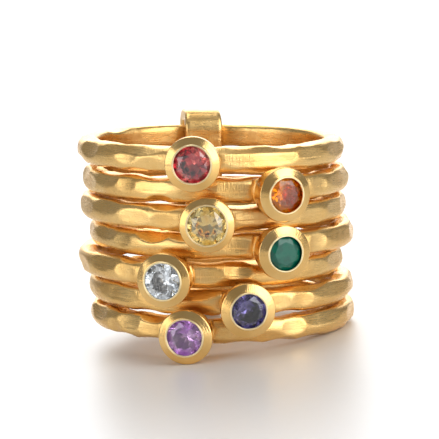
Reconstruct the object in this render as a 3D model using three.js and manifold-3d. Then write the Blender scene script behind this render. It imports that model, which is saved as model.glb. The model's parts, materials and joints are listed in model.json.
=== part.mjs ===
// A ring of seven hammered hoops in a stack. Each hoop carries one round stone in a bezel cup, and one
// strap link goes round all seven at the back, so that each hoop can slide round through it.
//
// Millimetres, +Z up. The ring is drawn about its own axis, with the stones at the front (-Y) and the
// link at the back. The whole ring then leans a little, as it does when it lies on a table on its
// lowest cup, the edge of its link and the far side of its lowest hoop.

import * as THREE from 'three';
import { mergeVertices } from 'three/addons/utils/BufferGeometryUtils.js';
import Module from 'manifold-3d';

const wasm = await Module();
wasm.setup();

const rad = THREE.MathUtils.degToRad;

// Hoops: a US size 7 ring is 17.3 mm inside
const INNER_DIAMETER = 17.3;
const HOOP_DEPTH = 1.6;
const HOOP_HEIGHT = 1.97;
const HOOP_PITCH = 2.06;
const OUTER_SQUARENESS = 2.2;
const INNER_SQUARENESS = 5;
const HOOP_STEPS = 70;
const HOOP_SECTION_DEG = [0, 31, 62, 95, 129, 180, 231, 265, 298, 329];
const WIRE_RADIUS = (INNER_DIAMETER + HOOP_DEPTH) / 2;
const HOOP_OUTER = WIRE_RADIUS + HOOP_DEPTH / 2;

// Hammer marks, in rows along a hoop: the way the row faces, how many blows it has, how far they
// stray, how deep they go and how round the hammer's face is. A hoop's front has marks of its own
const HAMMER_ROWS = [
  { faceDeg: 0, blows: 17, strayDeg: 20, deepest: 0.24, hammerRadius: 8 },
  { faceDeg: 48, blows: 15, strayDeg: 14, deepest: 0.2, hammerRadius: 7 },
  { faceDeg: -48, blows: 16, strayDeg: 14, deepest: 0.2, hammerRadius: 7 },
  { faceDeg: 88, blows: 19, strayDeg: 12, deepest: 0.2, hammerRadius: 7 },
  { faceDeg: -88, blows: 18, strayDeg: 12, deepest: 0.2, hammerRadius: 7 },
];
const SHALLOWEST = 0.02;
const BLOW_JITTER = 0.3;
const OWN_MARKS_DEG = 76;
const EDGE_ROWS_DEG = 80;

// Bezel cups, sized along their own axis from the ring's axis outwards
const CUP_SIDES = 24;
const CUP_FOOT = 9.5;
const CUP_UNDERSIDE = 10.45;
const CUP_WALL_RADIUS = 1.7;
const CUP_FOOT_HEIGHT = 1.76;
const RIM_UNDERSIDE = 11.78;
const RIM_EDGE = 12.24;
const RIM_RADIUS = 2.0;
const LIP_TOP = 12.6;
const LIP_FLAT = 0.06;
const SEAT_LEVEL = 10.02;
const SEAT_LENGTH = 4.3;

// Stones: round cuts of 3 mm
const STONE_RADIUS = 1.5;
const STONE_GAP = 0.07;
const GIRDLE_LEVEL = 12.04;
const GIRDLE_HEIGHT = 0.08;
const TABLE_LEVEL = 12.5;
const TABLE_RADIUS = 0.84;
const CULET_LEVEL = 10.82;

// The link: a strap bent into a closed loop round the stack
const LINK_WIDTH = 3.0;
const LINK_THICKNESS = 1.0;
const LINK_EDGE = 0.26;
const LINK_BEND = 1.15;
const LINK_TURN_DEG = 8;
const LINK_SLOT_INNER = 8.14;
const LINK_SLOT_OUTER = 10.42;
const LINK_GAP_ABOVE = 0.24;
const LINK_GAP_BELOW = 0.1;
const LINK_BEND_STEPS = 5;

// How the ring lies on a table: its axis leans this far, towards this side
const LEAN_DEG = 5.74;
const LEAN_TOWARDS_DEG = -7.85;

// The hoops from top to bottom. turnDeg is where the cup sits, from straight front to the right;
// shift is how far the hoop has slid sideways; lift raises the hoop, and cupLift its cup on it. A row
// of marks is where a mark is, from straight front, the way it faces, its length and its depth
const BANDS = [
  {
    turnDeg: -6.0, shift: -0.45, lift: 0.12, cupLift: 0.0, opening: 1.33, seed: 3, colour: '#a3122c',
    marks: [
      [-63.6, 20, 2.7, 0.2], [-37.5, 6, 1.8, 0.1], [-36, 42, 4.9, 0.16], [-33.5, -70, 2.5, 0.14],
      [-25.8, -18, 2.1, 0.14], [14.5, -72, 2.1, 0.14], [21.9, -4, 5.6, 0.2], [22.7, 45, 5.9, 0.17],
      [36.1, -70, 3.5, 0.17], [47.1, 10, 2.7, 0.1], [70, 15, 3.7, 0.16],
    ],
  },
  {
    turnDeg: 24.0, shift: -0.07, lift: 0.0, cupLift: -0.12, opening: 1.27, seed: 8, colour: '#d4560e',
    marks: [
      [-72.9, 0, 4, 0.2], [-52.6, 22, 2.4, 0.14], [-40.5, 10, 1.9, 0.1], [-26.7, 8, 2.6, 0.1],
      [-26.2, 70, 2.3, 0.16], [-24.2, -52, 2, 0.2], [-7.7, -12, 2.6, 0.12], [7.4, 5, 2.3, 0.12],
      [8, 72, 2.1, 0.12], [49.2, 4, 1.7, 0.14], [70.1, 12, 4.9, 0.16],
    ],
  },
  {
    turnDeg: -2.0, shift: -0.26, lift: 0.0, cupLift: -0.11, opening: 1.41, seed: 14, colour: '#e8d9a6',
    marks: [
      [-73.6, 8, 3.8, 0.18], [-51.8, 24, 2.8, 0.15], [-34.9, -2, 2.6, 0.14],
      [-28.6, -70, 2.8, 0.14], [-20.8, -8, 2.1, 0.12], [-20.8, 62, 2.1, 0.14],
      [15.1, -62, 1.8, 0.16], [16.4, 2, 2.3, 0.13], [47.4, -8, 2.7, 0.14], [66.4, 10, 3.3, 0.14],
    ],
  },
  {
    turnDeg: 21.3, shift: 0.42, lift: 0.0, cupLift: -0.17, opening: 1.25, seed: 21, colour: '#0c7a52',
    marks: [
      [-59.7, 24, 2.8, 0.14], [-46.9, 4, 1.7, 0.1], [-30.9, 52, 2.6, 0.3], [-25.8, -28, 5.4, 0.1],
      [-16.1, 48, 2.3, 0.14], [1.1, -72, 3.4, 0.12], [5.6, 8, 2.2, 0.15], [44.3, 0, 1.7, 0.17],
      [62.2, 14, 4, 0.12],
    ],
  },
  {
    turnDeg: -15.9, shift: -0.46, lift: 0.0, cupLift: -0.06, opening: 1.33, seed: 33, colour: '#dfe8f2',
    marks: [
      [-73.6, -10, 3.3, 0.16], [-52.8, 16, 2.9, 0.13], [-38, 0, 1.8, 0.13], [-36.4, 66, 1.9, 0.15],
      [-1.7, 3, 2.2, 0.14], [11.6, 14, 1.9, 0.16], [11.7, -50, 3.3, 0.2], [14, 58, 2.6, 0.14],
      [48.4, 4, 3.4, 0.12], [70.8, 14, 3.7, 0.14],
    ],
  },
  {
    turnDeg: 9.0, shift: 0.36, lift: 0.0, cupLift: -0.12, opening: 1.26, seed: 41, colour: '#3b3370',
    marks: [
      [-48.4, 10, 5, 0.15], [-34.6, -70, 2.7, 0.16], [-27.7, -6, 1.8, 0.1], [-12, -20, 2.9, 0.1],
      [-11.6, 52, 3.3, 0.26], [24.8, 2, 1.7, 0.14], [30, -68, 2.4, 0.16], [36, -1, 1.9, 0.13],
      [41.3, 60, 3.9, 0.14], [56.4, 16, 4.6, 0.12],
    ],
  },
  {
    turnDeg: -12.8, shift: 0.46, lift: 0.0, cupLift: -0.02, opening: 1.31, seed: 57, colour: '#7d4fa3',
    marks: [
      [-68.8, 20, 3.2, 0.2], [-53.2, -14, 1.6, 0.12], [-47.5, -72, 2.4, 0.16],
      [-43.7, 10, 2.4, 0.15], [-32.5, 0, 1.8, 0.14], [-31.7, -74, 2.5, 0.18], [-31.5, 56, 2, 0.26],
      [3.8, -6, 3.5, 0.09], [8.6, -72, 2.5, 0.13], [19.6, -24, 1.7, 0.1], [26.4, -70, 2.5, 0.17],
      [30.9, 6, 1.9, 0.17], [43.2, -68, 2.9, 0.13], [48.5, 20, 3.9, 0.12],
    ],
  },
];

const GOLD = { color: '#c9a45c', roughness: 0.38, metalness: 1.0 };

// The height of a hoop's middle on the ring's axis, with the stack's middle at 0
function hoopHeight(index) {
  const middle = (BANDS.length - 1) / 2;
  return (middle - index) * HOOP_PITCH + BANDS[index].lift;
}

// A number from 0 to 1 that depends on its place alone, so that each hoop keeps its own marks
function scatter(seed, row, blow, use) {
  const wave = Math.sin(seed * 12.9898 + row * 78.233 + blow * 37.719 + use * 4.581) * 43758.5453;
  return wave - Math.floor(wave);
}

// The blows of one hoop: place along the wire from its cup, the way each faces, depth and roundness
function hammerBlows(band) {
  const length = 2 * Math.PI * WIRE_RADIUS;
  const straightFront = (-rad(band.turnDeg) / (2 * Math.PI)) * length;
  const ownMarks = rad(OWN_MARKS_DEG) * WIRE_RADIUS;
  const inRows = HAMMER_ROWS.flatMap((row, r) =>
    Array.from({ length: row.blows }, (_, b) => ({
      along: ((b + BLOW_JITTER * (2 * scatter(band.seed, r, b, 1) - 1)) / row.blows) * length,
      facing: rad(row.faceDeg + row.strayDeg * (2 * scatter(band.seed, r, b, 2) - 1)),
      depth: SHALLOWEST + (row.deepest - SHALLOWEST) * scatter(band.seed, r, b, 3),
      roundness: row.hammerRadius * (0.7 + 0.6 * scatter(band.seed, r, b, 4)),
      onEdge: Math.abs(row.faceDeg) > EDGE_ROWS_DEG,
    })),
  );
  const kept = inRows.filter(
    (blow) => blow.onEdge || Math.abs(wrapped(blow.along - straightFront)) > ownMarks,
  );
  const own = band.marks.map(([turnDeg, faceDeg, markLength, depth]) => ({
    along: rad(turnDeg - band.turnDeg) * WIRE_RADIUS,
    facing: rad(faceDeg),
    depth,
    roundness: (markLength * markLength) / (8 * depth),
  }));
  return [...kept, ...own];
}

// A distance along the wire, taken the short way round the hoop
function wrapped(distance) {
  const length = 2 * Math.PI * WIRE_RADIUS;
  return distance - length * Math.round(distance / length);
}

// The section before hammering: how far its edge lies from the wire's middle at an angle. It is
// round outside and nearly flat against the finger
function plainSection(angle) {
  const squareness = Math.cos(angle) > 0 ? OUTER_SQUARENESS : INNER_SQUARENESS;
  const across = Math.abs(Math.cos(angle) / (HOOP_DEPTH / 2)) ** squareness;
  const up = Math.abs(Math.sin(angle) / (HOOP_HEIGHT / 2)) ** squareness;
  return (across + up) ** (-1 / squareness);
}

// How far the plain section reaches towards an angle
function plainReach(angle) {
  return Math.hypot((HOOP_DEPTH / 2) * Math.cos(angle), (HOOP_HEIGHT / 2) * Math.sin(angle));
}

// The hammered section: each blow flattens the wire to a shallow dish
function hammeredSection(blows, along, angle) {
  let reach = plainSection(angle);
  for (const blow of blows) {
    const lean = Math.cos(angle - blow.facing);
    if (lean > 0.2) {
      const apart = wrapped(along - blow.along);
      const dish = plainReach(blow.facing) - blow.depth + (apart * apart) / (2 * blow.roundness);
      reach = Math.min(reach, dish / lean);
    }
  }
  return reach;
}

// A closed mesh from a grid of points that wraps round both ways
function wrappedGrid(rows) {
  const across = rows[0].length;
  const index = [];
  rows.forEach((row, i) => {
    const next = ((i + 1) % rows.length) * across;
    row.forEach((_, j) => {
      const a = i * across + j;
      const b = i * across + ((j + 1) % across);
      const c = next + ((j + 1) % across);
      const d = next + j;
      index.push(a, d, b, b, d, c);
    });
  });
  const geometry = new THREE.BufferGeometry().setFromPoints(rows.flat());
  geometry.setIndex(index);
  return geometry;
}

// A mesh's geometry as a solid, ready to be joined or cut
function toSolid(geometry) {
  const bare = geometry.clone();
  bare.deleteAttribute('normal');
  bare.deleteAttribute('uv');
  const merged = mergeVertices(bare, 1e-5);
  return new wasm.Manifold(
    new wasm.Mesh({
      numProp: 3,
      vertProperties: new Float32Array(merged.attributes.position.array),
      triVerts: new Uint32Array(merged.index.array),
    }),
  );
}

function toGeometry(solid) {
  const mesh = solid.getMesh();
  const geometry = new THREE.BufferGeometry();
  geometry.setAttribute('position', new THREE.BufferAttribute(mesh.vertProperties, 3));
  geometry.setIndex(new THREE.BufferAttribute(mesh.triVerts, 1));
  return geometry;
}

// A round solid from a profile of [radius, level] points, standing on its axis along +Y
function turned(profile, sides) {
  return new THREE.LatheGeometry(profile.map(([r, level]) => new THREE.Vector2(r, level)), sides);
}

// Places what was drawn along +Y on a cup's axis: outwards from the ring, at the cup's angle
function atCup(band) {
  const turn = rad(band.turnDeg);
  const outwards = new THREE.Vector3(Math.sin(turn), -Math.cos(turn), 0);
  const up = new THREE.Vector3(0, 0, 1);
  const sideways = new THREE.Vector3().crossVectors(outwards, up);
  return new THREE.Matrix4().makeBasis(sideways, outwards, up).setPosition(0, 0, band.cupLift);
}

// One hoop as bent and hammered, with its middle at the origin
function hammeredHoop(band) {
  const blows = hammerBlows(band);
  const rows = Array.from({ length: HOOP_STEPS }, (_, i) => {
    const turn = (i / HOOP_STEPS) * 2 * Math.PI;
    const angle = turn + rad(band.turnDeg);
    return HOOP_SECTION_DEG.map((deg) => {
      const facing = rad(deg);
      const reach = hammeredSection(blows, turn * WIRE_RADIUS, facing);
      const radius = WIRE_RADIUS + reach * Math.cos(facing);
      return new THREE.Vector3(
        radius * Math.sin(angle),
        -radius * Math.cos(angle),
        reach * Math.sin(facing),
      );
    });
  });
  return wrappedGrid(rows);
}

// The outside of a cup: a plain wall under a broad bevelled rim
function cupOutside(band) {
  const lip = band.opening + LIP_FLAT;
  return turned(
    [
      [0, CUP_UNDERSIDE],
      [CUP_WALL_RADIUS - 0.12, CUP_UNDERSIDE],
      [CUP_WALL_RADIUS, CUP_UNDERSIDE + 0.12],
      [CUP_WALL_RADIUS + 0.04, RIM_UNDERSIDE - 0.14],
      [RIM_RADIUS, RIM_UNDERSIDE],
      [RIM_RADIUS, RIM_EDGE],
      [lip, LIP_TOP],
      [0, LIP_TOP],
    ],
    CUP_SIDES,
  );
}

// The hollow of a cup: the opening, the groove that holds the stone's edge, and a cone under it
function cupHollow(band) {
  const groove = STONE_RADIUS + STONE_GAP;
  const crownSlope = (TABLE_LEVEL - GIRDLE_LEVEL - GIRDLE_HEIGHT) / (STONE_RADIUS - TABLE_RADIUS);
  const grooveTop = GIRDLE_LEVEL + GIRDLE_HEIGHT + STONE_GAP;
  const lipUnderside = grooveTop + (groove - band.opening) * crownSlope + STONE_GAP / 2;
  return turned(
    [
      [0, CULET_LEVEL - STONE_GAP * 2],
      [0.1, CULET_LEVEL - STONE_GAP * 2],
      [groove, GIRDLE_LEVEL - STONE_GAP],
      [groove, grooveTop],
      [band.opening, lipUnderside],
      [band.opening + LIP_FLAT / 2, LIP_TOP + 0.1],
      [0, LIP_TOP + 0.1],
    ],
    CUP_SIDES,
  );
}

// The cup's foot, as high as the hoop, which is soldered into a flat seat filed on the hoop
function cupFoot(band) {
  const foot = turned(
    [
      [0, CUP_FOOT],
      [CUP_WALL_RADIUS, CUP_FOOT],
      [CUP_WALL_RADIUS, CUP_UNDERSIDE + 0.2],
      [0, CUP_UNDERSIDE + 0.2],
    ],
    CUP_SIDES,
  ).applyMatrix4(atCup(band));
  const slab = new THREE.BoxGeometry(4 * HOOP_OUTER, 4 * HOOP_OUTER, CUP_FOOT_HEIGHT);
  return toSolid(foot).intersect(toSolid(slab));
}

function seatCut(band) {
  const depth = 2;
  const cut = new THREE.BoxGeometry(SEAT_LENGTH, depth, 2 * HOOP_HEIGHT);
  cut.translate(0, SEAT_LEVEL + depth / 2, 0);
  return toSolid(cut.applyMatrix4(atCup(band)));
}

// A hoop with its cup: one piece of metal
function bandGeometry(band) {
  const place = atCup(band);
  const hoop = toSolid(hammeredHoop(band)).subtract(seatCut(band));
  const outside = toSolid(cupOutside(band).applyMatrix4(place));
  const hollow = toSolid(cupHollow(band).applyMatrix4(place));
  return toGeometry(hoop.add(cupFoot(band)).add(outside).subtract(hollow));
}

// A round cut stone on the +Y axis: an eight-sided table, star and kite facets on the crown, a
// sixteen-sided girdle and eight main facets below
function stoneGeometry(band) {
  const ring = (radius, level, count, offset) =>
    Array.from({ length: count }, (_, i) => {
      const angle = ((i + offset) / count) * 2 * Math.PI;
      return new THREE.Vector3(radius * Math.cos(angle), level, radius * Math.sin(angle));
    });
  const girdleTop = GIRDLE_LEVEL + GIRDLE_HEIGHT;
  const crownSlope = (TABLE_LEVEL - girdleTop) / (STONE_RADIUS - TABLE_RADIUS);
  const starRadius = 0.62 * STONE_RADIUS + 0.38 * TABLE_RADIUS;
  const starLevel = TABLE_LEVEL - (starRadius * Math.cos(Math.PI / 8) - TABLE_RADIUS) * crownSlope;
  const keelSlope = (GIRDLE_LEVEL - CULET_LEVEL) / STONE_RADIUS;
  const keelRadius = 0.35 * STONE_RADIUS;
  const keelLevel = CULET_LEVEL + keelRadius * Math.cos(Math.PI / 8) * keelSlope;
  const points = [
    new THREE.Vector3(0, TABLE_LEVEL, 0),
    ...ring(TABLE_RADIUS, TABLE_LEVEL, 8, 0),
    ...ring(starRadius, starLevel, 8, 0.5),
    ...ring(STONE_RADIUS, girdleTop, 16, 0),
    ...ring(STONE_RADIUS, GIRDLE_LEVEL, 16, 0),
    ...ring(keelRadius, keelLevel, 8, 0.5),
    new THREE.Vector3(0, CULET_LEVEL, 0),
  ];
  const [table, star, top, bottom, keel, culet] = [1, 9, 17, 33, 49, 57];
  const index = [];
  for (let k = 0; k < 8; k++) {
    const next = (k + 1) % 8;
    const before = (k + 7) % 8;
    const at = (base, i) => base + ((i + 16) % 16);
    index.push(0, table + next, table + k);
    index.push(table + k, table + next, star + k);
    index.push(table + k, star + k, at(top, 2 * k));
    index.push(table + k, at(top, 2 * k), star + before);
    index.push(star + k, at(top, 2 * k + 1), at(top, 2 * k));
    index.push(star + k, at(top, 2 * k + 2), at(top, 2 * k + 1));
    for (const g of [2 * k, 2 * k + 1]) {
      index.push(at(top, g), at(top, g + 1), at(bottom, g + 1));
      index.push(at(top, g), at(bottom, g + 1), at(bottom, g));
    }
    index.push(at(bottom, 2 * k), at(bottom, 2 * k + 1), keel + k);
    index.push(at(bottom, 2 * k + 1), at(bottom, 2 * k + 2), keel + k);
    index.push(at(bottom, 2 * k), keel + k, culet);
    index.push(at(bottom, 2 * k), culet, keel + before);
  }
  const geometry = new THREE.BufferGeometry().setFromPoints(points);
  geometry.setIndex(index);
  return geometry.applyMatrix4(atCup(band));
}

// The link: a strap section with soft edges, swept round an upright loop with bent corners
function linkGeometry() {
  const half = LINK_THICKNESS / 2;
  const inner = LINK_SLOT_INNER - half;
  const outer = LINK_SLOT_OUTER + half;
  const top = hoopHeight(0) + HOOP_HEIGHT / 2 + LINK_GAP_ABOVE + half;
  const bottom = hoopHeight(BANDS.length - 1) - HOOP_HEIGHT / 2 - LINK_GAP_BELOW - half;
  const corners = [
    { out: outer - LINK_BEND, up: top - LINK_BEND, startDeg: 0 },
    { out: inner + LINK_BEND, up: top - LINK_BEND, startDeg: 90 },
    { out: inner + LINK_BEND, up: bottom + LINK_BEND, startDeg: 180 },
    { out: outer - LINK_BEND, up: bottom + LINK_BEND, startDeg: 270 },
  ];
  const wide = LINK_WIDTH / 2;
  const section = [
    [-wide, -half + LINK_EDGE],
    [-wide, half - LINK_EDGE],
    [-wide + LINK_EDGE, half],
    [wide - LINK_EDGE, half],
    [wide, half - LINK_EDGE],
    [wide, -half + LINK_EDGE],
    [wide - LINK_EDGE, -half],
    [-wide + LINK_EDGE, -half],
  ];
  const turn = rad(LINK_TURN_DEG);
  const back = new THREE.Vector3(-Math.sin(turn), Math.cos(turn), 0);
  const side = new THREE.Vector3(Math.cos(turn), Math.sin(turn), 0);
  const up = new THREE.Vector3(0, 0, 1);
  const rows = corners.flatMap((corner) =>
    Array.from({ length: LINK_BEND_STEPS + 1 }, (_, i) => {
      const angle = rad(corner.startDeg + (90 * i) / LINK_BEND_STEPS);
      return section.map(([across, outwards]) => {
        const reach = LINK_BEND + outwards;
        return new THREE.Vector3()
          .addScaledVector(side, across)
          .addScaledVector(back, corner.out + reach * Math.cos(angle))
          .addScaledVector(up, corner.up + reach * Math.sin(angle));
      });
    }),
  );
  return wrappedGrid(rows);
}

function namedMesh(name, geometry, look) {
  geometry.computeVertexNormals();
  const mesh = new THREE.Mesh(geometry, new THREE.MeshStandardMaterial(look));
  mesh.name = name;
  return mesh;
}

const ring = new THREE.Group();
BANDS.forEach((band, index) => {
  const hoop = new THREE.Group();
  hoop.position.set(band.shift, 0, hoopHeight(index));
  hoop.add(namedMesh(`band_${index + 1}`, bandGeometry(band), GOLD));
  const stoneLook = { color: band.colour, roughness: 0.05, metalness: 0 };
  hoop.add(namedMesh(`stone_${index + 1}`, stoneGeometry(band), stoneLook));
  ring.add(hoop);
});
ring.add(namedMesh('link', linkGeometry(), GOLD));

// The ring leans as it lies, and its lowest point is on the table, under the middle of its box
const leanTowards = rad(LEAN_TOWARDS_DEG);
const leanAxis = new THREE.Vector3(-Math.sin(leanTowards), Math.cos(leanTowards), 0);
ring.quaternion.setFromAxisAngle(leanAxis, rad(LEAN_DEG));
const box = new THREE.Box3().setFromObject(ring, true);
ring.position.set(-(box.min.x + box.max.x) / 2, -(box.min.y + box.max.y) / 2, -box.min.z);

const model = new THREE.Group();
model.add(ring);
export default model;
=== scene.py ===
"""A ring of seven hammered gold hoops with a stone each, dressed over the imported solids.

Lengths are millimetres in the ring's own frame, as in the part's source, until they are placed:
+Z along the ring's axis, the stones at the front (-Y) and the link at the back.
"""

import json
import math

import bpy
import numpy as np
from mathutils import Matrix, Vector


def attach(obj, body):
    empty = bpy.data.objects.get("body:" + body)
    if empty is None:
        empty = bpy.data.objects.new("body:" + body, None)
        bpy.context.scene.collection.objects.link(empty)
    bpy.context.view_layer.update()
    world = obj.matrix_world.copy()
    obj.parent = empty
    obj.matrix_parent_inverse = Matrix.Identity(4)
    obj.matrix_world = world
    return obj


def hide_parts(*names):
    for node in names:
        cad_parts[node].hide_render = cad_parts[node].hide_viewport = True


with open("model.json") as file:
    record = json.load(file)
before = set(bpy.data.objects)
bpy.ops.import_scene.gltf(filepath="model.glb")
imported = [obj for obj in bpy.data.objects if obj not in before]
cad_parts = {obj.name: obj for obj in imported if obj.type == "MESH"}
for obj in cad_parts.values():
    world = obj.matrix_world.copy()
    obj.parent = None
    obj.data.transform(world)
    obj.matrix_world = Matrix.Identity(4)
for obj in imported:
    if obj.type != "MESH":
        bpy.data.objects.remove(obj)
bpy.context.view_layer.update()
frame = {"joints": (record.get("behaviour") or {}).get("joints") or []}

MM = 0.001

# The named sizes of the part's source: the hoop's section and the wire that it is bent from
HOOP_DEPTH = 1.6
HOOP_HEIGHT = 1.97
HOOP_PITCH = 2.06
OUTER_SQUARENESS = 2.2
INNER_SQUARENESS = 5.0
WIRE_RADIUS = 9.45
WIRE_LENGTH = 2 * math.pi * WIRE_RADIUS

# Rows of blows: the way they face in degrees, how many go round, how many degrees one may stray,
# how deep the deepest is and the hammer's radius
HAMMER_ROWS = [
    {"face": 0, "blows": 17, "stray": 20, "deepest": 0.24, "radius": 8},
    {"face": 48, "blows": 15, "stray": 14, "deepest": 0.2, "radius": 7},
    {"face": -48, "blows": 16, "stray": 14, "deepest": 0.2, "radius": 7},
    {"face": 88, "blows": 19, "stray": 12, "deepest": 0.2, "radius": 7},
    {"face": -88, "blows": 18, "stray": 12, "deepest": 0.2, "radius": 7},
]

# The shallowest blow, how far one is from its even place, and how the hammer's radius varies
SHALLOWEST = 0.02
BLOW_JITTER = 0.3
LEAST_ROUND = 0.7
ROUNDNESS_SPREAD = 0.6
SCATTER_WAVES = (12.9898, 78.233, 37.719, 4.581)
SCATTER_SPREAD = 43758.5453

# A hoop has its own marks this many degrees either side of straight front, in place of the rows
OWN_MARKS = 76

# A row that faces further up or down than this goes all round even so
EDGE_ROWS = 80

# The cup: its levels are distances out from the hoop's middle, along its own axis
CUP_FOOT = 9.5
CUP_UNDERSIDE = 10.45
CUP_WALL_RADIUS = 1.7
CUP_FOOT_HEIGHT = 1.76
RIM_UNDERSIDE = 11.78
RIM_EDGE = 12.24
RIM_RADIUS = 2.0
LIP_TOP = 12.6
LIP_FLAT = 0.06
SEAT_LEVEL = 10.02

# The stone
STONE_RADIUS = 1.5
STONE_GAP = 0.07
GIRDLE_LEVEL = 12.04
GIRDLE_HEIGHT = 0.08
TABLE_LEVEL = 12.5
TABLE_RADIUS = 0.84
CULET_LEVEL = 10.82
GIRDLE_TOP = GIRDLE_LEVEL + GIRDLE_HEIGHT
CROWN_SLOPE = (TABLE_LEVEL - GIRDLE_TOP) / (STONE_RADIUS - TABLE_RADIUS)

# The link
LINK_WIDTH = 3.0
LINK_THICKNESS = 1.0
LINK_EDGE = 0.26
LINK_BEND = 1.15
LINK_TURN = 8
LINK_SLOT_INNER = 8.14
LINK_SLOT_OUTER = 10.42
LINK_GAP_ABOVE = 0.24
LINK_GAP_BELOW = 0.1

# From the top: the cup's turn from straight front in degrees, the hoop's shift right and lift, the
# cup's lift on its hoop, the radius of the opening round the stone, the seed of the scattered
# blows, and the hoop's own marks: turn and the way it faces in degrees, length and depth
BANDS = [
    {
        "turn": -6.0, "shift": -0.45, "lift": 0.12, "cup_lift": 0.0, "opening": 1.33, "seed": 3,
        "marks": [
            (-63.6, 20, 2.7, 0.2), (-37.5, 6, 1.8, 0.1), (-36, 42, 4.9, 0.16),
            (-33.5, -70, 2.5, 0.14), (-25.8, -18, 2.1, 0.14), (14.5, -72, 2.1, 0.14),
            (21.9, 4, 5.6, 0.2), (22.7, 45, 5.9, 0.17), (36.1, -70, 3.5, 0.17),
            (47.1, 10, 2.7, 0.1), (70, 15, 3.7, 0.16),
        ],
    },
    {
        "turn": 24.0, "shift": -0.07, "lift": 0.0, "cup_lift": -0.12, "opening": 1.27, "seed": 8,
        "marks": [
            (-72.9, 0, 4, 0.2), (-52.6, 22, 2.4, 0.14), (-40.5, 10, 1.9, 0.1), (-26.7, 8, 2.6, 0.1),
            (-26.2, 70, 2.3, 0.16), (-24.2, -52, 2, 0.2), (-7.7, -12, 2.6, 0.12),
            (7.4, 5, 2.3, 0.12), (8, 72, 2.1, 0.12), (49.2, 4, 1.7, 0.14), (70.1, 12, 4.9, 0.16),
        ],
    },
    {
        "turn": -2.0, "shift": -0.26, "lift": 0.0, "cup_lift": -0.11, "opening": 1.41, "seed": 14,
        "marks": [
            (-73.6, 8, 3.8, 0.18), (-51.8, 24, 2.8, 0.15), (-34.9, -2, 2.6, 0.14),
            (-28.6, -70, 2.8, 0.14), (-20.8, -8, 2.1, 0.12), (-20.8, 62, 2.1, 0.14),
            (15.1, -62, 1.8, 0.16), (16.4, 2, 2.3, 0.13), (47.4, -8, 2.7, 0.14),
            (66.4, 10, 3.3, 0.14),
        ],
    },
    {
        "turn": 21.3, "shift": 0.42, "lift": 0.0, "cup_lift": -0.17, "opening": 1.25, "seed": 21,
        "marks": [
            (-59.7, 24, 2.8, 0.14), (-46.9, 4, 1.7, 0.1), (-30.9, 52, 2.6, 0.3),
            (-25.8, -28, 5.4, 0.1), (-16.1, 48, 2.3, 0.14), (1.1, -72, 3.4, 0.12),
            (5.6, 8, 2.2, 0.15), (44.3, 0, 1.7, 0.17), (62.2, 14, 4, 0.12),
        ],
    },
    {
        "turn": -15.9, "shift": -0.46, "lift": 0.0, "cup_lift": -0.06, "opening": 1.33, "seed": 33,
        "marks": [
            (-73.6, -10, 3.3, 0.16), (-52.8, 16, 2.9, 0.13), (-38, 0, 1.8, 0.13),
            (-36.4, 66, 1.9, 0.15), (-1.7, 3, 2.2, 0.14), (11.6, 14, 1.9, 0.16),
            (11.7, -50, 3.3, 0.2), (14, 58, 2.6, 0.14), (48.4, 4, 3.4, 0.12), (70.8, 14, 3.7, 0.14),
        ],
    },
    {
        "turn": 9.0, "shift": 0.36, "lift": 0.0, "cup_lift": -0.12, "opening": 1.26, "seed": 41,
        "marks": [
            (-48.4, 10, 5, 0.15), (-34.6, -70, 2.7, 0.16), (-27.7, -6, 1.8, 0.1),
            (-12, -20, 2.9, 0.1), (-11.6, 52, 3.3, 0.26), (24.8, 2, 1.7, 0.14),
            (30, -68, 2.4, 0.16), (36, -1, 1.9, 0.13), (41.3, 60, 3.9, 0.14),
            (56.4, 16, 4.6, 0.12),
        ],
    },
    {
        "turn": -12.8, "shift": 0.46, "lift": 0.0, "cup_lift": -0.02, "opening": 1.31, "seed": 57,
        "marks": [
            (-68.8, 20, 3.2, 0.2), (-53.2, -14, 1.6, 0.12), (-47.5, -72, 2.4, 0.16),
            (-43.7, 10, 2.4, 0.15), (-32.5, 0, 1.8, 0.14), (-31.7, -74, 2.5, 0.18),
            (-31.5, 56, 2, 0.26), (3.8, -6, 3.5, 0.09), (8.6, -72, 2.5, 0.13),
            (19.6, -24, 1.7, 0.1), (26.4, -70, 2.5, 0.17), (30.9, 6, 1.9, 0.17),
            (43.2, -68, 2.9, 0.13), (48.5, 20, 3.9, 0.12),
        ],
    },
]

# Finer than the solids: steps round a hoop and its section, sides of a cup, and steps in the link's
# bends and straights
HOOP_STEPS = 600
SECTION_STEPS = 44
CUP_SIDES = 96
BEND_STEPS = 16
STRAIGHT_STEPS = 12

# How softly two blows meet, and a hoop and the seat under its cup
RIDGE_SOFTNESS = 0.012
SEAT_SOFTNESS = 0.03

# A blow doesn't reach metal that faces further from it than this cosine
BLOW_REACH = 0.2
OUT_OF_REACH = 99.0

# Taken off the hoops all round, so that their finer surface stays inside the solids' box
TRIM = 0.022

# The solids' cups have 24 sides, and a round rim of this share of their radius stays inside them
ROUND_FIT = math.cos(math.pi / 24)

# The cup's smaller forms: its chamfer below, how its wall widens to a neck under the rim, points of
# the rolled lip as steps from the edge of its flat and from its top, and the tip of the cone inside
CUP_CHAMFER = 0.12
CUP_WIDENING = 0.04
CUP_NECK = 0.14
LIP_ROLL = [(0.09, -0.07), (0.055, -0.06), (0.02, -0.005), (-0.04, 0)]
LIP_INSIDE = (-0.02, -0.05)
CONE_TIP = 0.1
CUP_ROUNDING = 0.05
FOOT_OVERLAP = 0.2

# How far out from its flat and down from its top the lip gets a lighter gold, a painted highlight
HIGHLIGHT_OUT = 0.06
HIGHLIGHT_DOWN = 0.07

# How uneven a lip is and how far from the opening, and the waves round it: share, number and shift
UNEVEN = 0.006
UNEVEN_REACH = 0.15
LIP_WAVES = [(1.0, 3, 1), (0.8, 5, 2), (0.8, 11, 3)]

# A brilliant: the facets round its table, its stars' tips as shares of the stone's radius and the
# table's, and the lower facets' tips as a share of the stone's
FACETS = 8
STAR_SHARE = 0.62
TABLE_SHARE = 0.38
KEEL_SHARE = 0.35

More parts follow.
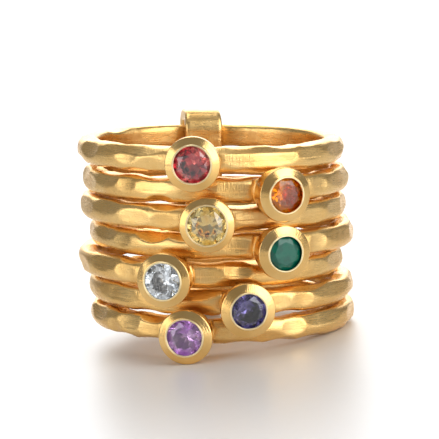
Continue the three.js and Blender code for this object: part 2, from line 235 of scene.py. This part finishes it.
# The dressed link: its edges' rounding, its share of the solid's thickness and width, and the
# waves along it: share, number per millimetre and shift
EDGE_ROUNDING = 1.2
THICKNESS_SHARE = 0.97
WIDTH_SHARE = 0.985
WAVES_IN_WIDTH = 0.5
LINK_WAVES = [(0.02, 1.7, 0), (0.015, 3.1, 1)]

# The brush coordinates run along the metal and across it, at this scale
BRUSH_SCALE = 0.1

# A band's materials: its hoop, its cup, the lip round the stone in a lighter gold that is a painted
# highlight, and what is under it, painted dark grey as shade under some stones
HAMMERED, BEZEL, LIP_HIGHLIGHT, UNDER_STONE = 0, 1, 2, 3

# The camera, in the ring's frame: fitted to the hoops and cups of the photograph. The focus is in
# pixels for each millimetre away
CAMERA_AWAY = 150.0
CAMERA_ELEVATION = 8.2
CAMERA_FOCUS = 12.917
PICTURE = 439
PRINCIPAL = (216.6, 228.2)
SENSOR = 36


def hoop_height(index):
    return (3 - index) * HOOP_PITCH + BANDS[index]["lift"]


def hoop_middle(index):
    return BANDS[index]["shift"], 0, hoop_height(index)


def ring_placement():
    """The ring's frame in the model, from the hinges: each lies on its hoop's middle."""
    axis = Vector(frame["joints"][0]["axis"]).normalized()
    lean = Vector((0, 0, 1)).rotation_difference(axis).to_matrix()
    origins = []
    for index in range(len(BANDS)):
        joint = next(j for j in frame["joints"] if j["child"] == f"band_{index + 1}")
        origins.append(Vector(joint["pos_m"]) - lean @ (Vector(hoop_middle(index)) * MM))
    origin = sum(origins, Vector()) / len(origins)
    return Matrix.Translation(origin) @ lean.to_4x4() @ Matrix.Scale(MM, 4)


RING = ring_placement()


# Hammered hoops


def scatter(seed, row, blow, use):
    """A number from 0 to 1 that is the same each run."""
    by_seed, by_row, by_blow, by_use = SCATTER_WAVES
    wave = math.sin(seed * by_seed + row * by_row + blow * by_blow + use * by_use) * SCATTER_SPREAD
    return wave - math.floor(wave)


def wrapped(distance):
    """A distance along the wire, taken the short way round the hoop."""
    return distance - WIRE_LENGTH * np.round(distance / WIRE_LENGTH)


def hammer_blows(band):
    """The blows of one hoop: rows all round, and at the front the marks that the hoop has."""
    seed = band["seed"]
    straight_front = -math.radians(band["turn"]) * WIRE_RADIUS
    own_marks = math.radians(OWN_MARKS) * WIRE_RADIUS
    blows = []
    for r, row in enumerate(HAMMER_ROWS):
        for b in range(row["blows"]):
            jitter = BLOW_JITTER * (2 * scatter(seed, r, b, 1) - 1)
            stray = row["stray"] * (2 * scatter(seed, r, b, 2) - 1)
            deeper = (row["deepest"] - SHALLOWEST) * scatter(seed, r, b, 3)
            rounder = ROUNDNESS_SPREAD * scatter(seed, r, b, 4)
            along = (b + jitter) / row["blows"] * WIRE_LENGTH
            if abs(wrapped(along - straight_front)) < own_marks and abs(row["face"]) < EDGE_ROWS:
                continue
            blows.append(
                {
                    "along": along,
                    "facing": math.radians(row["face"] + stray),
                    "depth": SHALLOWEST + deeper,
                    "roundness": row["radius"] * (LEAST_ROUND + rounder),
                }
            )
    for turn, face, mark_length, depth in band["marks"]:
        blows.append(
            {
                "along": math.radians(turn - band["turn"]) * WIRE_RADIUS,
                "facing": math.radians(face),
                "depth": depth,
                "roundness": mark_length**2 / (8 * depth),
            }
        )
    return blows


def soft_min(a, b, softness):
    """The lower of two, with the corner between them rounded off on the low side."""
    share = np.clip(0.5 + 0.5 * (b - a) / softness, 0, 1)
    return a * share + b * (1 - share) - softness * share * (1 - share)


def plain_section(angle):
    """The wire before hammering: round outside, nearly flat against the finger."""
    squareness = np.where(np.cos(angle) > 0, OUTER_SQUARENESS, INNER_SQUARENESS)
    across = np.abs(np.cos(angle) / (HOOP_DEPTH / 2)) ** squareness
    up = np.abs(np.sin(angle) / (HOOP_HEIGHT / 2)) ** squareness
    return (across + up) ** (-1 / squareness)


def plain_reach(angle):
    """How far the wire's surface is from its middle, measured the way a blow faces."""
    return math.hypot(HOOP_DEPTH / 2 * math.cos(angle), HOOP_HEIGHT / 2 * math.sin(angle))


def wrapped_faces(rows, across):
    """Quads of a grid that wraps round both ways."""
    i, j = np.meshgrid(np.arange(rows), np.arange(across), indexing="ij")
    ni, nj = (i + 1) % rows, (j + 1) % across
    quads = np.stack([i * across + j, ni * across + j, ni * across + nj, i * across + nj], -1)
    return [tuple(int(v) for v in quad) for quad in quads.reshape(-1, 4)]


def hammered_hoop(band):
    """Points, faces and brush coordinates of one hoop, filed flat under its cup."""
    turn = np.arange(HOOP_STEPS)[:, None] / HOOP_STEPS * 2 * math.pi
    facing = np.arange(SECTION_STEPS)[None, :] / SECTION_STEPS * 2 * math.pi
    along = turn * WIRE_RADIUS
    reach = np.broadcast_to(plain_section(facing), (HOOP_STEPS, SECTION_STEPS)).copy()
    for blow in hammer_blows(band):
        lean = np.cos(facing - blow["facing"])
        apart = wrapped(along - blow["along"])
        dish = plain_reach(blow["facing"]) - blow["depth"] + apart**2 / (2 * blow["roundness"])
        met = np.where(lean > BLOW_REACH, dish / np.maximum(lean, BLOW_REACH), OUT_OF_REACH)
        reach = soft_min(reach, met, RIDGE_SOFTNESS)
    reach -= TRIM
    radius = WIRE_RADIUS + reach * np.cos(facing)
    sideways = radius * np.sin(turn)
    outwards = radius * np.cos(turn)
    seated = soft_min(outwards, SEAT_LEVEL, SEAT_SOFTNESS)
    outwards = np.where(outwards > 0, seated, outwards)
    angle = math.radians(band["turn"])
    x = sideways * math.cos(angle) + outwards * math.sin(angle)
    y = sideways * math.sin(angle) - outwards * math.cos(angle)
    z = reach * np.sin(facing)
    points = np.stack([x, y, z], axis=-1).reshape(-1, 3)
    brush = np.stack(np.broadcast_arrays(along, facing), axis=-1).reshape(-1, 2)
    return points, wrapped_faces(HOOP_STEPS, SECTION_STEPS), brush, HAMMERED


# Bezel cups


def softened(profile, rounding, steps=3):
    """A profile with each inner corner turned into a small arc, with a close point either side."""
    profile = [np.array(p, dtype=float) for p in profile]
    out = [profile[0]]
    for before, corner, after in zip(profile, profile[1:], profile[2:]):
        back, on = before - corner, after - corner
        reach = min(rounding, 0.3 * np.linalg.norm(back), 0.3 * np.linalg.norm(on))
        start = corner + back / np.linalg.norm(back) * reach
        end = corner + on / np.linalg.norm(on) * reach
        out.append(start + back / np.linalg.norm(back) * reach * 0.5)
        for step in range(steps + 1):
            t = step / steps
            out.append((1 - t) ** 2 * start + 2 * t * (1 - t) * corner + t**2 * end)
        out.append(end + on / np.linalg.norm(on) * reach * 0.5)
    out.append(profile[-1])
    return out


def at_cup(band, sideways, outwards, up):
    """A point of the cup's own frame in the hoop's."""
    angle = math.radians(band["turn"])
    return (
        -sideways * math.cos(angle) + outwards * math.sin(angle),
        -sideways * math.sin(angle) - outwards * math.cos(angle),
        up + band["cup_lift"],
    )


def hand_set(band, radius, level, a):
    """A point of a cup as a hand leaves it, with a lip a little uneven in width and height."""
    seed = band["seed"]
    near = 0.0
    if level > RIM_EDGE:
        near = math.exp(-(((radius - band["opening"]) / UNEVEN_REACH) ** 2))
    sideways = 0.0
    for share, number, shift in LIP_WAVES:
        sideways += share * math.sin(number * a + shift * seed)
    sunk = 2 + math.sin(2 * a + seed) + math.sin(3 * a + 4 * seed)
    raised = max(0.0, (level - RIM_EDGE) / (LIP_TOP - RIM_EDGE))
    return radius + UNEVEN * near * sideways, level - UNEVEN * raised * sunk


def turned(band, profile):
    """A shape turned on the cup's axis from points of [radius, level]; its ends are on the axis."""
    points, brush, faces = [], [], []
    walked = 0.0
    rings = []
    for k, (radius, level) in enumerate(profile):
        if k:
            walked += math.hypot(radius - profile[k - 1][0], level - profile[k - 1][1])
        ring = []
        for s in range(1 if radius == 0 else CUP_SIDES):
            a = 2 * math.pi * s / CUP_SIDES
            ring.append(len(points))
            out, height = hand_set(band, radius, level, a)
            points.append(at_cup(band, out * math.cos(a), height, out * math.sin(a)))
            brush.append((a * RIM_RADIUS, walked))
        rings.append(ring)
    for low, high in zip(rings, rings[1:]):
        for s in range(CUP_SIDES):
            n = (s + 1) % CUP_SIDES
            if len(low) == 1:
                faces.append((low[0], high[s], high[n]))
            elif len(high) == 1:
                faces.append((low[n], low[s], high[0]))
            else:
                faces.append((low[n], low[s], high[s], high[n]))
    return points, faces, brush


def cup_profile(band):
    """Points of [radius, level] over the outside of a cup, its lip and down to a cone inside."""
    opening = band["opening"]
    lip = opening + LIP_FLAT
    groove = STONE_RADIUS + STONE_GAP
    groove_top = GIRDLE_TOP + STONE_GAP
    lip_underside = groove_top + (groove - opening) * CROWN_SLOPE + STONE_GAP / 2
    corners = [
        [0, CUP_UNDERSIDE],
        [CUP_WALL_RADIUS - CUP_CHAMFER, CUP_UNDERSIDE],
        [CUP_WALL_RADIUS, CUP_UNDERSIDE + CUP_CHAMFER],
        [CUP_WALL_RADIUS + CUP_WIDENING, RIM_UNDERSIDE - CUP_NECK],
        [RIM_RADIUS * ROUND_FIT, RIM_UNDERSIDE],
        [RIM_RADIUS * ROUND_FIT, RIM_EDGE],
        *([lip + out, LIP_TOP + up] for out, up in LIP_ROLL),
        [opening + LIP_INSIDE[0], LIP_TOP + LIP_INSIDE[1]],
        [opening, lip_underside],
        [groove, groove_top],
        [groove, GIRDLE_LEVEL - STONE_GAP],
        [CONE_TIP, CULET_LEVEL - STONE_GAP * 2],
        [0, CULET_LEVEL - STONE_GAP * 2],
    ]
    return softened(corners, CUP_ROUNDING)


def cup(band):
    """A cup with its own finish outside, a lighter gold on the lip that is a painted highlight, and
    its own finish under the stone, dark grey as painted shade under some stones.
    """
    profile = cup_profile(band)
    points, faces, brush = turned(band, profile)
    widest = band["opening"] + LIP_FLAT + HIGHLIGHT_OUT
    lowest = LIP_TOP - HIGHLIGHT_DOWN
    finishes = []
    over_the_lip = False
    for (radius, level), (next_radius, next_level) in zip(profile, profile[1:]):
        # Faces within the lip's reach get the lighter gold of the painted highlight
        painted_bright = max(radius, next_radius) < widest and min(level, next_level) > lowest
        over_the_lip = over_the_lip or painted_bright
        finish = LIP_HIGHLIGHT if painted_bright else UNDER_STONE if over_the_lip else BEZEL
        finishes.extend([finish] * CUP_SIDES)
    return points, faces, brush, finishes


def foot(band):
    """The block under the cup, nearly as high as the hoop, soldered into the seat."""
    half = CUP_FOOT_HEIGHT / 2
    points, brush = [], []
    for level in (CUP_FOOT, CUP_UNDERSIDE + FOOT_OVERLAP):
        for s in range(CUP_SIDES):
            a = 2 * math.pi * s / CUP_SIDES
            up = max(-half, min(half, CUP_WALL_RADIUS * math.sin(a)))
            place = at_cup(band, CUP_WALL_RADIUS * math.cos(a), level, up - band["cup_lift"])
            points.append(place)
            brush.append((a * CUP_WALL_RADIUS, level))
    faces = [tuple(range(CUP_SIDES)), tuple(reversed(range(CUP_SIDES, 2 * CUP_SIDES)))]
    for s in range(CUP_SIDES):
        n = (s + 1) % CUP_SIDES
        faces.append((n, s, CUP_SIDES + s, CUP_SIDES + n))
    return points, faces, brush, HAMMERED


# Stones


def brilliant(band):
    """A round cut stone on the cup's axis: table, stars, kites, girdle, mains."""

    def ring(radius, level, count, offset):
        turns = [(i + offset) / count * 2 * math.pi for i in range(count)]
        return [at_cup(band, radius * math.cos(a), level, radius * math.sin(a)) for a in turns]

    half_facet = math.cos(math.pi / FACETS)
    star_radius = STAR_SHARE * STONE_RADIUS + TABLE_SHARE * TABLE_RADIUS
    star_in = star_radius * half_facet - TABLE_RADIUS
    star_level = TABLE_LEVEL - star_in * CROWN_SLOPE
    keel_slope = (GIRDLE_LEVEL - CULET_LEVEL) / STONE_RADIUS
    keel_radius = KEEL_SHARE * STONE_RADIUS
    keel_level = CULET_LEVEL + keel_radius * half_facet * keel_slope
    rings = [
        ring(TABLE_RADIUS, TABLE_LEVEL, FACETS, 0),
        ring(star_radius, star_level, FACETS, 0.5),
        ring(STONE_RADIUS, GIRDLE_TOP, 2 * FACETS, 0),
        ring(STONE_RADIUS, GIRDLE_LEVEL, 2 * FACETS, 0),
        ring(keel_radius, keel_level, FACETS, 0.5),
        [at_cup(band, 0, CULET_LEVEL, 0)],
    ]
    points, starts = [], []
    for place in rings:
        starts.append(len(points))
        points.extend(place)
    table, star, top, bottom, keel, culet = starts
    faces = [tuple(reversed(range(FACETS)))]
    for k in range(FACETS):
        after, before = (k + 1) % FACETS, (k - 1) % FACETS
        here, ahead, beyond = 2 * k, 2 * k + 1, (2 * k + 2) % (2 * FACETS)
        faces.append((table + k, table + after, star + k))
        faces.append((table + k, star + k, top + here, star + before))
        faces.append((star + k, top + ahead, top + here))
        faces.append((star + k, top + beyond, top + ahead))
        faces.append((top + here, top + ahead, bottom + ahead, bottom + here))
        faces.append((top + ahead, top + beyond, bottom + beyond, bottom + ahead))
        faces.append((bottom + here, bottom + ahead, keel + k))
        faces.append((bottom + ahead, bottom + beyond, keel + k))
        faces.append((bottom + here, keel + k, culet, keel + before))
    return points, faces, [(p[0], p[2]) for p in points], 0


# Link


def link_path():
    """The strap's middle line: how far back, how high, and the way it faces, once round."""
    half = LINK_THICKNESS / 2
    inner = LINK_SLOT_INNER - half
    outer = LINK_SLOT_OUTER + half
    top = hoop_height(0) + HOOP_HEIGHT / 2 + LINK_GAP_ABOVE + half
    bottom = hoop_height(len(BANDS) - 1) - HOOP_HEIGHT / 2 - LINK_GAP_BELOW - half
    corners = [
        (outer - LINK_BEND, top - LINK_BEND, 0),
        (inner + LINK_BEND, top - LINK_BEND, 90),
        (inner + LINK_BEND, bottom + LINK_BEND, 180),
        (outer - LINK_BEND, bottom + LINK_BEND, 270),
    ]
    path = []
    for c, (out, up, start) in enumerate(corners):
        for step in range(BEND_STEPS + 1):
            path.append((out, up, math.radians(start + 90 * step / BEND_STEPS)))
        next_out, next_up, _ = corners[(c + 1) % 4]
        facing = math.radians(start + 90)
        for step in range(1, STRAIGHT_STEPS):
            t = step / STRAIGHT_STEPS
            path.append((out + (next_out - out) * t, up + (next_up - up) * t, facing))
    return path


def bent_strap():
    """The strap, bent into a loop round the stack at the back, with rounded edges."""
    path = link_path()
    wide, half = LINK_WIDTH / 2, LINK_THICKNESS / 2
    square = [(-wide, -half), (-wide, half), (wide, half), (wide, -half)]
    section = softened([square[3]] + square + [square[0]], LINK_EDGE * EDGE_ROUNDING, 5)[1:-1]
    turn = math.radians(LINK_TURN)
    back = np.array((-math.sin(turn), math.cos(turn), 0))
    side = np.array((math.cos(turn), math.sin(turn), 0))
    up_way = np.array((0, 0, 1.0))
    points, brush = [], []
    walked = 0.0
    for k, (out, up, a) in enumerate(path):
        if k:
            walked += math.dist((out, up), path[k - 1][:2]) + LINK_BEND * abs(a - path[k - 1][2])
        wobble = 0.0
        for share, number, shift in LINK_WAVES:
            wobble += share * math.sin(number * walked + shift)
        for across, outwards in section:
            reach = LINK_BEND + outwards * THICKNESS_SHARE
            spread = across * (WIDTH_SHARE + wobble * WAVES_IN_WIDTH)
            points.append(
                side * spread
                + back * (out + reach * math.cos(a))
                + up_way * (up + reach * math.sin(a))
            )
            brush.append((across + outwards, walked))
    return points, wrapped_faces(len(path), len(section)), brush, HAMMERED


# Pieces


def placed_mesh(name, parts, offset, smooth=True):
    """One mesh from parts of (points, faces, brush, finishes), moved by offset and placed.

    A part's finishes are its material's number, one for all its faces or one for each.
    """
    points, faces, brush, finish = [], [], [], []
    for part_points, part_faces, part_brush, part_finish in parts:
        base = len(points)
        if isinstance(part_finish, int):
            part_finish = [part_finish] * len(part_faces)
        finish.extend(part_finish)
        points.extend(RING @ (Vector(p) + Vector(offset)) for p in part_points)
        faces.extend(tuple(base + v for v in face) for face in part_faces)
        brush.extend(part_brush)
    mesh = bpy.data.meshes.new(name)
    mesh.from_pydata(points, [], faces)
    layer = mesh.uv_layers.new(name="brush")
    corners = np.empty(len(mesh.loops), dtype=np.int32)
    mesh.loops.foreach_get("vertex_index", corners)
    flat = (np.array(brush, dtype=np.float32) * BRUSH_SCALE)[corners]
    layer.data.foreach_set("uv", flat.ravel())
    mesh.polygons.foreach_set("use_smooth", [smooth] * len(mesh.polygons))
    mesh.polygons.foreach_set("material_index", finish)
    mesh.validate()
    piece = bpy.data.objects.new(name, mesh)
    bpy.context.scene.collection.objects.link(piece)
    return piece


def band_piece(index):
    band = BANDS[index]
    parts = [hammered_hoop(band), cup(band), foot(band)]
    return placed_mesh(f"gold_{index + 1}", parts, hoop_middle(index))


def stone_piece(index):
    parts = [brilliant(BANDS[index])]
    return placed_mesh(f"gem_{index + 1}", parts, hoop_middle(index), smooth=False)


def link_piece():
    return placed_mesh("link_strap", [bent_strap()], (0, 0, 0))


# Materials

GOLD = (0.96, 0.635, 0.25)
DEEP_GOLD = (0.9, 0.555, 0.19)
# The lip's gold, lighter than the rest as a painted highlight
PAINTED_HIGHLIGHT_GOLD = (1.0, 0.82, 0.48)
# A dark grey gold for the cup under the cool stones: painted shade in that recess
SHADE_PAINTED_GOLD = (0.42, 0.38, 0.33)

# Each gold's smoothest and roughest satin, and the relief of its surface in millimetres
HOOP_SATIN = (0.23, 0.35, 0.03)
BEZEL_SATIN = (0.12, 0.2, 0.02)
LIP_SATIN = (0.35, 0.45, 0.004)
UNDER_STONE_SATIN = (0.4, 0.5, 0.01)
LINK_SATIN = (0.24, 0.34, 0.03)

# Where each gold starts in its noises, so that no two are the same
BAND_NOISE_STEP = 3.1
BEZEL_NOISE = 50
LIP_NOISE = 20
UNDER_STONE_NOISE = 30
LINK_NOISE = 40

# Noises over the metal: two golds, scratched patches, small dents and grain
BLOTCHES = {"scale": 420, "detail": 3}
PATCHES = {"scale": 260, "detail": 2, "shift": 5}
DENTS = {"scale": 1700, "detail": 2, "shift": 9}
GRAIN = {"scale": 9000, "detail": 2}

# Noises along the brush coordinate: brush marks, and the scratches that cross them
STREAKS = {"stretch": (6, 90, 1), "scale": 1.6, "detail": 4}
CROSSINGS = {"stretch": (85, 9, 1), "scale": 1.5, "detail": 3, "shift": 3}

# Where in its noise each of them starts and is whole
BLOTCH_EDGE = (0.35, 0.65)
PATCH_EDGE = (0.52, 0.62)
STREAK_EDGE = (0.3, 0.7)

# The brush coordinate at either side of the cup up to which a hoop is filed, whole and at all
FILED = (0.36, 0.46)

# How much rougher scratched metal is, and how much each noise raises the surface
SCRATCHED_SATIN = 0.03
STREAKS_LEFT = 0.3
CROSSING_SHARE = 3.4
GRAIN_SHARE = 0.5
DENT_SHARE = 1.3
BUMP_STRENGTH = 0.35

# The veil in a stone, where it starts and is whole, and the polish
VEIL = {"scale": 1300, "detail": 2}
VEIL_EDGE = (0.42, 0.58)
GEM_ROUGHNESS = 0.02

# The stones from the top: two tints, the share of light let through, the index of refraction, and
# whether the cup under the stone is as warm as outside or else painted dark grey as shade
GEMS = [
    {
        "slot": "stone_red", "colour": (1.0, 0.18, 0.15), "deep": (0.5, 0.01, 0.02),
        "through": 1.0, "ior": 2.25, "warm": False,
    },
    {
        "slot": "stone_orange", "colour": (1.0, 0.34, 0.005), "deep": (1.0, 0.22, 0.0),
        "through": 0.88, "ior": 1.75, "warm": True,
    },
    {
        "slot": "stone_pale_yellow", "colour": (1.0, 0.8, 0.34), "deep": (1.0, 0.6, 0.12),
        "through": 1.0, "ior": 2.2, "warm": True,
    },
    {
        "slot": "stone_green", "colour": (0.0, 0.2, 0.12), "deep": (0.0, 0.14, 0.09),
        "through": 0.3, "ior": 1.6, "warm": False,
    },
    {
        "slot": "stone_pale_blue", "colour": (0.97, 0.99, 1.0), "deep": (0.86, 0.93, 1.0),
        "through": 1.0, "ior": 2.25, "warm": False,
    },
    {
        "slot": "stone_violet_blue", "colour": (0.22, 0.18, 0.46), "deep": (0.015, 0.012, 0.07),
        "through": 1.0, "ior": 1.95, "warm": False,
    },
    {
        "slot": "stone_purple", "colour": (0.94, 0.58, 1.0), "deep": (0.72, 0.28, 0.94),
        "through": 0.9, "ior": 2.1, "warm": False,
    },
]

# A Mix node's sockets for colours
MIX_FIRST, MIX_SECOND, MIX_RESULT = 6, 7, 2


class Nodes:
    """Short hands for a node tree."""

    def __init__(self, owner, shader="Principled BSDF"):
        owner.use_nodes = True
        self.owner = owner
        self.tree = owner.node_tree
        self.shader = self.tree.nodes[shader]

    def fill(self, socket, value):
        """A socket linked to another's output, or given a value."""
        if isinstance(value, bpy.types.NodeSocket):
            self.tree.links.new(value, socket)
        else:
            socket.default_value = value

    def add(self, kind, values=None, **settings):
        node = self.tree.nodes.new(kind)
        for key, value in settings.items():
            setattr(node, key, value)
        for socket, value in (values or {}).items():
            self.fill(node.inputs[socket], value)
        return node

    def set(self, socket, value):
        self.fill(self.shader.inputs[socket], value)

    def noise(self, vector, scale, detail, stretch=(1, 1, 1), offset=0.0, shift=0):
        location = (offset + shift,) * 3
        mapping = self.add(
            "ShaderNodeMapping", {"Vector": vector, "Scale": stretch, "Location": location}
        )
        noise = self.add(
            "ShaderNodeTexNoise",
            {"Vector": mapping.outputs["Vector"], "Scale": scale, "Detail": detail},
        )
        return noise.outputs["Fac"]

    def ramp(self, factor, low, high, from_low=0.0, from_high=1.0):
        """low to high, as a soft step while factor goes from from_low to from_high"""
        node = self.add(
            "ShaderNodeMapRange",
            {
                "Value": factor,
                "From Min": from_low,
                "From Max": from_high,
                "To Min": low,
                "To Max": high,
            },
            interpolation_type="SMOOTHSTEP",
        )
        return node.outputs["Result"]

    def maths(self, operation, a, b):
        return self.add("ShaderNodeMath", {0: a, 1: b}, operation=operation).outputs[0]

    def mixed(self, factor, first, second):
        node = self.add("ShaderNodeMix", {"Factor": factor}, data_type="RGBA")
        node.inputs[MIX_FIRST].default_value = (*first, 1)
        node.inputs[MIX_SECOND].default_value = (*second, 1)
        return node.outputs[MIX_RESULT]


def gold(name, offset, smoothest, roughest, relief, light=GOLD, deep=DEEP_GOLD, filed=False):
    """Satin yellow gold plate: brushed along the metal, with crossing scratches in patches.

    A filed one has them all over beside its cup as well, where the brush coordinate starts and
    ends.
    """
    n = Nodes(bpy.data.materials.new(name))
    place = n.add("ShaderNodeTexCoord").outputs["Object"]
    brush = n.add("ShaderNodeUVMap", uv_map="brush").outputs["UV"]
    blotch = n.noise(place, offset=offset, **BLOTCHES)
    patch = n.noise(place, offset=offset, **PATCHES)
    dents = n.noise(place, offset=offset, **DENTS)
    streaks = n.noise(brush, offset=offset, **STREAKS)
    crossing = n.noise(brush, offset=offset, **CROSSINGS)
    grain = n.noise(place, offset=offset, **GRAIN)
    n.set("Base Color", n.mixed(n.ramp(blotch, 0, 1, *BLOTCH_EDGE), light, deep))
    n.set("Metallic", 1.0)
    scratched = n.ramp(patch, 0.0, 1.0, *PATCH_EDGE)
    if filed:
        whole, at_all = FILED
        once_round = WIRE_LENGTH * BRUSH_SCALE
        along = n.add("ShaderNodeSeparateXYZ", {0: brush}).outputs["X"]
        after = n.ramp(along, 1.0, 0.0, whole, at_all)
        ahead = n.ramp(along, 0.0, 1.0, once_round - at_all, once_round - whole)
        scratched = n.maths("MAXIMUM", scratched, n.maths("MAXIMUM", after, ahead))
    satin = n.ramp(streaks, smoothest, roughest, *STREAK_EDGE)
    n.set("Roughness", n.maths("ADD", satin, n.maths("MULTIPLY", scratched, SCRATCHED_SATIN)))
    along_share = n.maths("MULTIPLY", streaks, n.ramp(scratched, 1.0, STREAKS_LEFT))
    crossing_share = n.maths("MULTIPLY", crossing, n.ramp(scratched, 0.0, CROSSING_SHARE))
    height = n.maths("ADD", along_share, crossing_share)
    height = n.maths("ADD", height, n.maths("MULTIPLY", grain, GRAIN_SHARE))
    height = n.maths("ADD", height, n.maths("MULTIPLY", dents, DENT_SHARE))
    raised = {"Strength": BUMP_STRENGTH, "Distance": relief * MM, "Height": height}
    n.set("Normal", n.add("ShaderNodeBump", raised).outputs["Normal"])
    return n.owner


def gem(look):
    """A cut stone: tinted glass with a little cloudiness that varies inside it."""
    n = Nodes(bpy.data.materials.new(look["slot"]))
    place = n.add("ShaderNodeTexCoord").outputs["Object"]
    veil = n.noise(place, **VEIL)
    tint = n.mixed(n.ramp(veil, 0, 1, *VEIL_EDGE), look["colour"], look["deep"])
    n.set("Base Color", tint)
    n.set("Roughness", GEM_ROUGHNESS)
    n.set("IOR", look["ior"])
    n.set("Transmission Weight", look["through"])
    return n.owner


# The lip round the stone: a lighter gold that is a painted highlight, with its own satin
lip_highlight_gold = gold("lip", LIP_NOISE, *LIP_SATIN, light=PAINTED_HIGHLIGHT_GOLD, deep=PAINTED_HIGHLIGHT_GOLD)
# Under the cool stones the cup is painted dark grey: painted shade
shade_painted_under_stone = gold(
    "under_stone", UNDER_STONE_NOISE, *UNDER_STONE_SATIN, light=SHADE_PAINTED_GOLD, deep=SHADE_PAINTED_GOLD
)
for index, look in enumerate(GEMS):
    number = index + 1
    noise_start = BAND_NOISE_STEP * number
    metal = band_piece(index)
    hoop_gold = gold(f"gold_{number}", noise_start, *HOOP_SATIN, filed=True)
    bezel_gold = gold(f"bezel_{number}", noise_start + BEZEL_NOISE, *BEZEL_SATIN)
    # Under a stone that isn't warm, the cup takes the dark grey of painted shade
    under_stone = bezel_gold if look["warm"] else shade_painted_under_stone
    for finish in (hoop_gold, bezel_gold, lip_highlight_gold, under_stone):
        metal.data.materials.append(finish)
    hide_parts(f"band_{number}")
    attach(metal, f"band_{number}")
    stone = stone_piece(index)
    stone.data.materials.append(gem(look))
    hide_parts(f"stone_{number}")
    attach(stone, f"band_{number}")

strap = link_piece()
strap.data.materials.append(gold("gold_link", LINK_NOISE, *LINK_SATIN))
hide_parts("link")
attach(strap, "link")


# Floor, light and camera

# The floor, in metres from its middle to its edge, and its coated paper
FLOOR_HALF = 4.0
PAPER = (0.83, 0.83, 0.83)
DARKER_PAPER = (0.81, 0.81, 0.81)
PAPER_TOOTH = {"scale": 900, "detail": 2}
PAPER_ROUGHNESS = 0.5
PAPER_COAT = 1.0
PAPER_COAT_ROUGHNESS = 0.4

# A softbox overhead
ABOVE = {"place": (-40, 20, 400), "aim": (0, 0, 8), "size": (260, 200), "power": 0.36}

# Two panels stand on the floor in front: the turn from straight front to the right, the distance,
# the width and height in millimetres, and the power
PANELS = [
    {"name": "right", "turn": 54, "away": 400, "size": (350, 470), "power": 1.4},
    {"name": "left", "turn": -55, "away": 400, "size": (370, 230), "power": 0.43},
]

# The white wall behind: its strength, how much height counts as lying behind, and how far behind it
# starts and is whole; its share of that strength near the floor, and the heights where that ends
BACK_LIGHT = 2.6
WALL_RISE = 0.45
WALL_EDGE = (0.85, 1.05)
WALL_FOOT_SHARE = 0.55
WALL_FOOT_EDGE = (0.18, 0.3)
ROOM_LIGHT = 0.25
WHITE = (1, 1, 1, 1)


def floor():
    mesh = bpy.data.meshes.new("floor")
    half = FLOOR_HALF
    corners = [(-half, -half, 0), (half, -half, 0), (half, half, 0), (-half, half, 0)]
    mesh.from_pydata(corners, [], [(0, 1, 2, 3)])
    sheet = bpy.data.objects.new("floor", mesh)
    bpy.context.scene.collection.objects.link(sheet)
    n = Nodes(bpy.data.materials.new("floor_paper"))
    place = n.add("ShaderNodeTexCoord").outputs["Object"]
    n.set("Base Color", n.mixed(n.noise(place, **PAPER_TOOTH), PAPER, DARKER_PAPER))
    n.set("Roughness", PAPER_ROUGHNESS)
    n.set("Coat Weight", PAPER_COAT)
    n.set("Coat Roughness", PAPER_COAT_ROUGHNESS)
    mesh.materials.append(n.owner)


def softbox(name, place, aim, size, power):
    """A rectangular light at a place in millimetres that faces another place."""
    light = bpy.data.lights.new(name, "AREA")
    light.shape = "RECTANGLE"
    light.size, light.size_y = size[0] * MM, size[1] * MM
    light.energy = power
    lamp = bpy.data.objects.new(name, light)
    lamp.visible_camera = False
    lamp.location = Vector(place) * MM
    lamp.rotation_euler = (Vector(aim) - Vector(place)).to_track_quat("-Z", "Y").to_euler()
    bpy.context.scene.collection.objects.link(lamp)


def panels():
    for panel in PANELS:
        turn, middle = math.radians(panel["turn"]), panel["size"][1] / 2
        place = (panel["away"] * math.sin(turn), -panel["away"] * math.cos(turn), middle)
        softbox(panel["name"], place, (0, 0, middle), panel["size"], panel["power"])


def surroundings():
    """A studio with a white wall behind and a dimmer room."""
    world = bpy.data.worlds.new("studio")
    n = Nodes(world, "Background")
    way = n.add("ShaderNodeTexCoord").outputs["Generated"]
    split = n.add("ShaderNodeSeparateXYZ", {0: way})
    y, z = split.outputs["Y"], split.outputs["Z"]
    raised = n.maths("ADD", y, n.maths("MULTIPLY", z, WALL_RISE))
    wall = n.ramp(raised, 0.0, BACK_LIGHT, *WALL_EDGE)
    wall_share = n.ramp(z, WALL_FOOT_SHARE, 1.0, *WALL_FOOT_EDGE)
    n.set("Strength", n.maths("ADD", n.maths("MULTIPLY", wall, wall_share), ROOM_LIGHT))
    n.set("Color", WHITE)
    bpy.context.scene.world = world


def camera():
    elevation = math.radians(CAMERA_ELEVATION)
    place = Vector((0, -math.cos(elevation), math.sin(elevation))) * CAMERA_AWAY
    look = -place.normalized()
    side = look.cross(Vector((0, 0, 1))).normalized()
    up = side.cross(look)
    turn = RING.to_3x3().normalized() @ Matrix((side, up, -look)).transposed()
    data = bpy.data.cameras.new("camera")
    data.sensor_width = SENSOR
    data.lens = CAMERA_FOCUS * CAMERA_AWAY / PICTURE * SENSOR
    data.shift_x = (PICTURE / 2 - PRINCIPAL[0]) / PICTURE
    data.shift_y = (PRINCIPAL[1] - PICTURE / 2) / PICTURE
    data.clip_start, data.clip_end = 0.01, 5
    eye = bpy.data.objects.new("camera", data)
    eye.matrix_world = Matrix.Translation(RING @ place) @ turn.to_4x4()
    bpy.context.scene.collection.objects.link(eye)
    bpy.context.scene.camera = eye


floor()
surroundings()
softbox("above", **ABOVE)
panels()
camera()

view_settings = bpy.context.scene.view_settings
view_settings.view_transform = "Standard"
view_settings.exposure = 0.0
